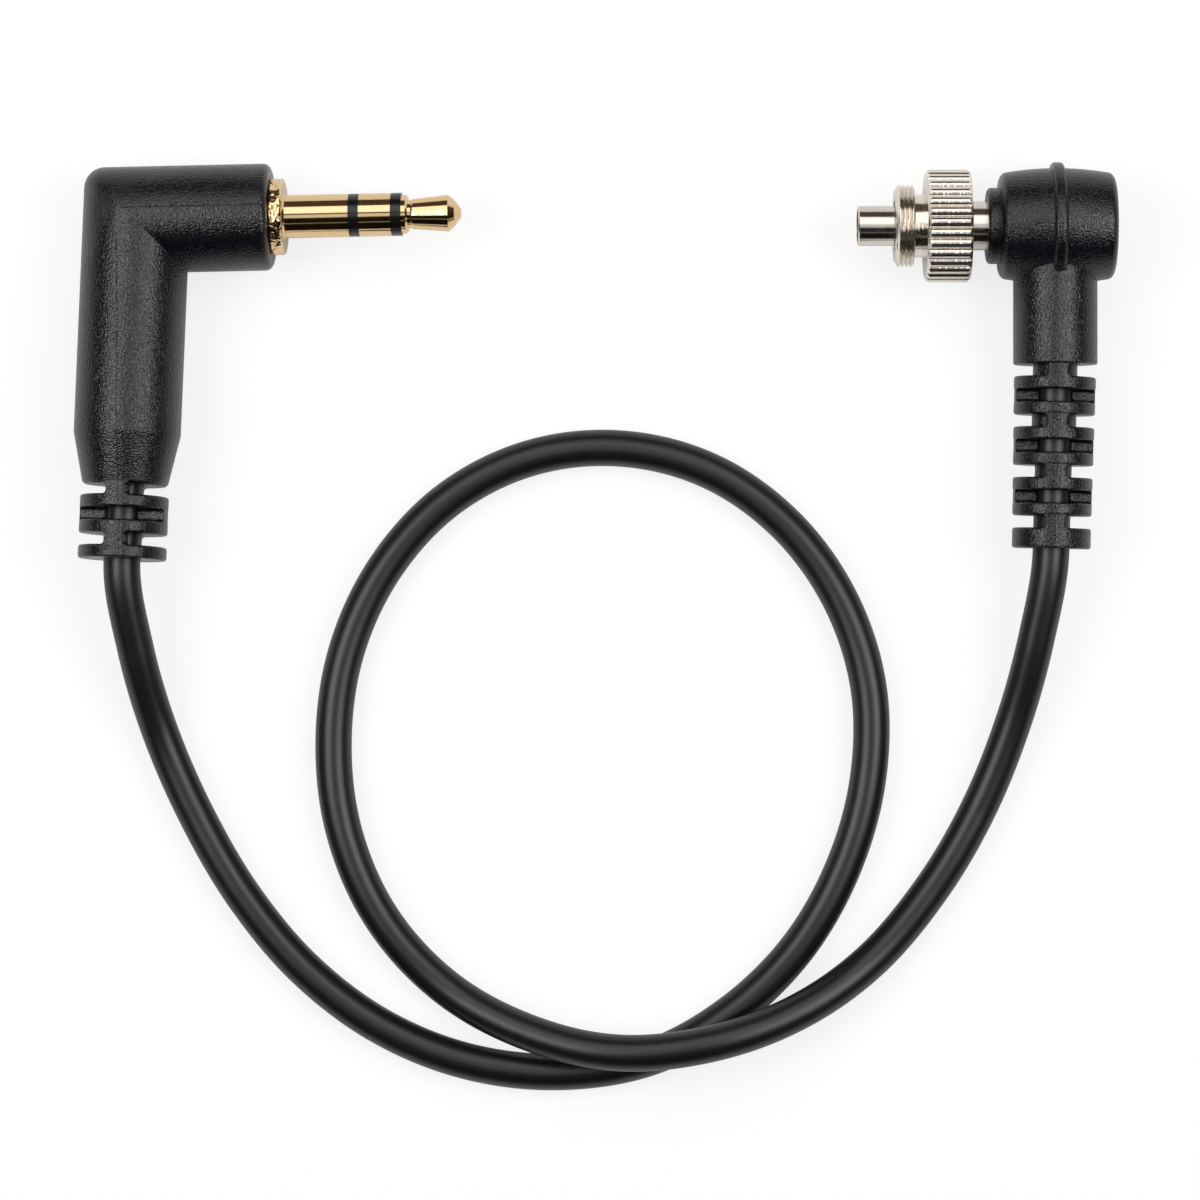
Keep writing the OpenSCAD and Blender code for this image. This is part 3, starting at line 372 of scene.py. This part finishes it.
def two_tone_finish(name, colour, shade, roughness, grain, depth, metallic=0.0):
    """A finish of two close tones in a grain of the given size in millimetres."""
    material, tree, shader = new_finish(name)
    spot = add(tree, "ShaderNodeTexCoord")
    mottle = add(
        tree, "ShaderNodeTexNoise",
        {"Vector": spot.outputs["Object"], "Scale": 1 / (grain * MM), "Detail": 3},
    )
    tone = add(
        tree, "ShaderNodeMix",
        {0: mottle.outputs["Fac"], 6: linear(colour), 7: linear(shade)}, data_type="RGBA",
    )
    shine = add(
        tree, "ShaderNodeMapRange",
        {"Value": mottle.outputs["Fac"], "To Min": roughness * 0.85, "To Max": roughness * 1.15},
    )
    relief = add(
        tree, "ShaderNodeBump",
        {"Height": mottle.outputs["Fac"], "Distance": depth * MM, "Strength": 0.4},
    )
    feed(tree, shader, {
        "Metallic": metallic, "Base Color": tone.outputs[2],
        "Roughness": shine.outputs["Result"], "Normal": relief.outputs["Normal"],
    })
    return material


# where the jack's flange ends, along its shaft from the plug's corner
FLANGE_FRONT = 12.15
GOLD = "#e9ca9b"

# the jack's two seams: along the top of its shaft arm, and down the top of its cable arm
jack_pvc = moulded_pvc(
    "moulded_pvc_spark_textured_jack", jack_place,
    seams=[("Y", 0.55, "X", -0.6, 0.03), ("X", -1.07, "Y", -1.5, 0.02)], bend=(-2.4, 2.6, 3.5),
)
sync_pvc = moulded_pvc("moulded_pvc_spark_textured_sync", sync_place)
# bright gold with fine turning lines round the shaft, 0.15 mm apart
gold = turned_metal(
    "gold_plate_over_turned_brass", GOLD, jack_place,
    pitch=0.15, smoothest=0.06, roughest=0.16, depth=0.0015,
)
# the same gold, on a sleeve whose flange glints where the crimping tool has dented it
dented_gold = turned_metal(
    "gold_plate_over_turned_brass_dented", GOLD, jack_place,
    pitch=0.15, smoothest=0.06, roughest=0.16, depth=0.0015, dent_end=FLANGE_FRONT,
)
# warm silver with turning lines 0.2 mm apart, which blur its shine a little
nickel = turned_metal(
    "nickel_plate_over_turned_brass", "#dad4cd", sync_place,
    pitch=0.2, smoothest=0.1, roughest=0.24, depth=0.014,
)
# the same with coarser lines, 0.28 mm apart, that cross the knurl's ridges
knurled_nickel = turned_metal(
    "nickel_plate_over_knurled_brass", "#e8e0d6", sync_place,
    pitch=0.28, smoothest=0.1, roughest=0.24, depth=0.055,
)
# black bands with an even gloss between the gold contacts
band_plastic = two_tone_finish(
    "moulded_abs_glossy_black", "#0c0d0e", "#121314", roughness=0.22, grain=0.4, depth=0.004,
)
# dull grey-white stamped terminals
tinned_brass = two_tone_finish(
    "tinned_brass_dull", "#c3c5c8", "#aeb0b4", roughness=0.35, grain=0.3, depth=0.01, metallic=1.0,
)
# red-brown stripped wires
bare_copper = two_tone_finish(
    "drawn_copper_bare", "#e0a080", "#cf8a68", roughness=0.28, grain=0.2, depth=0.01, metallic=1.0,
)
# the white insulation of the wires
white_pe = two_tone_finish(
    "extruded_polyethylene_white", "#e9e9e4", "#dfdfd8", roughness=0.4, grain=0.5, depth=0.01,
)
# bright joints that have run smooth
solder = two_tone_finish(
    "tin_solder_bright", "#cbcdd0", "#b4b6ba", roughness=0.2, grain=0.4, depth=0.02, metallic=1.0,
)
# milky hard mouldings and tubes
natural_pe = two_tone_finish(
    "moulded_polyethylene_natural", "#dcd8cb", "#d0cbbb", roughness=0.45, grain=0.6, depth=0.02,
)
# mottled brown washers with no shine
pressed_fibre = two_tone_finish(
    "pressed_fibre_washer", "#b58a5c", "#96703f", roughness=0.7, grain=0.25, depth=0.03,
)
# bright grey wire
spring_steel = two_tone_finish(
    "spring_steel_bright", "#b9bbbf", "#a5a7ac",
    roughness=0.25, grain=0.2, depth=0.01, metallic=1.0,
)

FINISHES = {
    "jack_tip": gold,
    "jack_tip_insulator": band_plastic,
    "jack_ring": gold,
    "jack_ring_insulator": band_plastic,
    "jack_sleeve": dented_gold,
    "jack_ground_lug": tinned_brass,
    "jack_front_washer": pressed_fibre,
    "jack_ring_lug": tinned_brass,
    "jack_rear_washer": pressed_fibre,
    "jack_tip_lug": tinned_brass,
    "jack_conductor": bare_copper,
    "jack_core": white_pe,
    "jack_shield_tail": bare_copper,
    "jack_solder": solder,
    "jack_premould": natural_pe,
    "jack_housing": jack_pvc,
    "pc_contact": nickel,
    "pc_insulator": natural_pe,
    "pc_pin": nickel,
    "pc_ground_lug": tinned_brass,
    "pc_conductor": bare_copper,
    "pc_core": white_pe,
    "pc_shield_tail": bare_copper,
    "pc_solder": solder,
    "pc_premould": natural_pe,
    "pc_housing": sync_pvc,
    "pc_retaining_ring": spring_steel,
    "pc_locking_ring": knurled_nickel,
}

for node, finish in FINISHES.items():
    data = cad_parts[node].data
    data.materials.clear()
    data.materials.append(finish)
cable.data.materials.append(extruded_pvc())


# ---------------------------------------------------------------- light and floor

# in metres: half the floor, how far from its middle it is well lit and from where it isn't
FLOOR_HALF = 6.0
LIT_REACH = 0.2
DARK_REACH = 0.9
# the glow's share in a mirrored floor, and what is added near and far in a floor seen straight
MIRRORED_GLOW = 0.15
NEAR_GLOW = 0.57
FAR_GLOW = 0.8
LAMP_HEIGHT = 0.5
# how far the white horizon reaches up in a mirror, as the upward part of a way of length 1
WHITE_UP_TO = 0.06


def softbox(name, centre, aim, width, depth, radiance):
    """A soft panel of even brightness, in metres, that faces its aim."""
    data = bpy.data.lights.new(name, "AREA")
    data.shape = "RECTANGLE"
    data.size = width
    data.size_y = depth
    data.energy = radiance * math.pi * width * depth
    lamp = bpy.data.objects.new(name, data)
    lamp.location = centre
    lamp.rotation_euler = (Vector(aim) - Vector(centre)).to_track_quat("-Z", "Y").to_euler()
    lamp.visible_camera = False
    bpy.context.collection.objects.link(lamp)


def flat_panel(name, width, y0, y1, radiance):
    """A soft panel that hangs level over the cord, from y0 to y1."""
    y = (y0 + y1) / 2
    softbox(name, (0, y, LAMP_HEIGHT), (0, y, 0), width=width, depth=y1 - y0, radiance=radiance)


def hang_lights():
    """Two level panels with the camera's slit between them, a box on each side and a dim strip."""
    flat_panel("panel_far", width=0.7, y0=0.11, y1=0.56, radiance=1.5)
    flat_panel("panel_near", width=0.7, y0=-0.10, y1=0.045, radiance=0.76)
    for name, side in (("box_left", -1), ("box_right", 1)):
        softbox(name, (side * 0.26, 0, 0.37), (0, 0, 0), width=0.24, depth=0.24, radiance=3.9)
    softbox("strip", (0, -0.32, 0.36), (0, 0, 0), width=0.6, depth=0.03, radiance=0.3)


def paper_floor():
    """White seamless paper. Seen straight or in a mirror it is pure white but for the shadows."""
    mesh = bmesh.new()
    corners = ((-1, -1), (1, -1), (1, 1), (-1, 1))
    mesh.faces.new([mesh.verts.new((x * FLOOR_HALF, y * FLOOR_HALF, 0)) for x, y in corners])
    data = bpy.data.meshes.new("paper_floor")
    mesh.to_mesh(data)
    mesh.free()
    floor = bpy.data.objects.new("paper_floor", data)
    bpy.context.collection.objects.link(floor)
    material, tree, shader = new_finish("seamless_paper_white")
    feed(tree, shader, {
        "Base Color": linear("#f3f3f2"), "Roughness": 0.9, "Specular IOR Level": 0.1,
    })
    glow = add(tree, "ShaderNodeEmission", {"Color": linear("#ffffff"), "Strength": 1.1})
    path = add(tree, "ShaderNodeLightPath")
    seen = add(
        tree, "ShaderNodeMath",
        {0: path.outputs["Is Camera Ray"], 1: path.outputs["Is Glossy Ray"]}, operation="MAXIMUM",
    )
    seen = add(
        tree, "ShaderNodeMath",
        {0: seen.outputs[0], 1: path.outputs["Is Transmission Ray"]}, operation="MAXIMUM",
    )
    # the floor glows as much as lifts it to white: a little in a mirror, more where it is seen
    # straight, and most in its far parts, which the lamps don't reach
    spot = add(tree, "ShaderNodeTexCoord")
    reach = add(tree, "ShaderNodeVectorMath", {0: spot.outputs["Object"]}, operation="LENGTH")
    straight = add(
        tree, "ShaderNodeMapRange",
        {"Value": reach.outputs["Value"], "From Min": LIT_REACH, "From Max": DARK_REACH,
         "To Min": NEAR_GLOW, "To Max": FAR_GLOW},
    )
    share = add(
        tree, "ShaderNodeMath", {0: seen.outputs[0], 1: MIRRORED_GLOW}, operation="MULTIPLY",
    )
    share = add(
        tree, "ShaderNodeMath",
        {0: path.outputs["Is Camera Ray"], 1: straight.outputs["Result"], 2: share.outputs[0]},
        operation="MULTIPLY_ADD",
    )
    both = add(
        tree, "ShaderNodeMixShader",
        {0: share.outputs[0], 1: shader.outputs["BSDF"], 2: glow.outputs["Emission"]},
    )
    feed(tree, tree.nodes["Material Output"], {"Surface": both.outputs["Shader"]})
    data.materials.append(material)


def dim_studio():
    """A dim warm room, lighter behind the cord than in front of it.

    It is white where it is seen, and so is its lowest part in a mirror, where it meets the floor.
    """
    world = bpy.data.worlds.new("dim_studio")
    world.use_nodes = True
    tree = world.node_tree
    bpy.context.scene.world = world
    way = add(tree, "ShaderNodeTexCoord").outputs["Generated"]
    parts = add(tree, "ShaderNodeSeparateXYZ", {"Vector": way})
    ramp = add(
        tree, "ShaderNodeMapRange",
        {"Value": parts.outputs["Y"], "From Min": -0.3, "From Max": 0.4},
    )
    room = add(
        tree, "ShaderNodeMix",
        {0: ramp.outputs["Result"], 6: linear("#15110c"), 7: linear("#4b4034")}, data_type="RGBA",
    )
    path = add(tree, "ShaderNodeLightPath")
    mirrored = add(
        tree, "ShaderNodeMath",
        {0: path.outputs["Is Glossy Ray"], 1: path.outputs["Is Transmission Ray"]},
        operation="MAXIMUM",
    )
    low = add(
        tree, "ShaderNodeMath", {0: parts.outputs["Z"], 1: WHITE_UP_TO}, operation="LESS_THAN",
    )
    low = add(
        tree, "ShaderNodeMath", {0: low.outputs[0], 1: mirrored.outputs[0]}, operation="MULTIPLY",
    )
    white = add(
        tree, "ShaderNodeMath",
        {0: path.outputs["Is Camera Ray"], 1: low.outputs[0]}, operation="MAXIMUM",
    )
    colour = add(
        tree, "ShaderNodeMix",
        {0: white.outputs[0], 6: room.outputs[2], 7: linear("#ffffff")}, data_type="RGBA",
    )
    feed(tree, tree.nodes["Background"], {"Color": colour.outputs[2]})


hang_lights()
paper_floor()
dim_studio()
bpy.context.scene.view_settings.view_transform = "Standard"
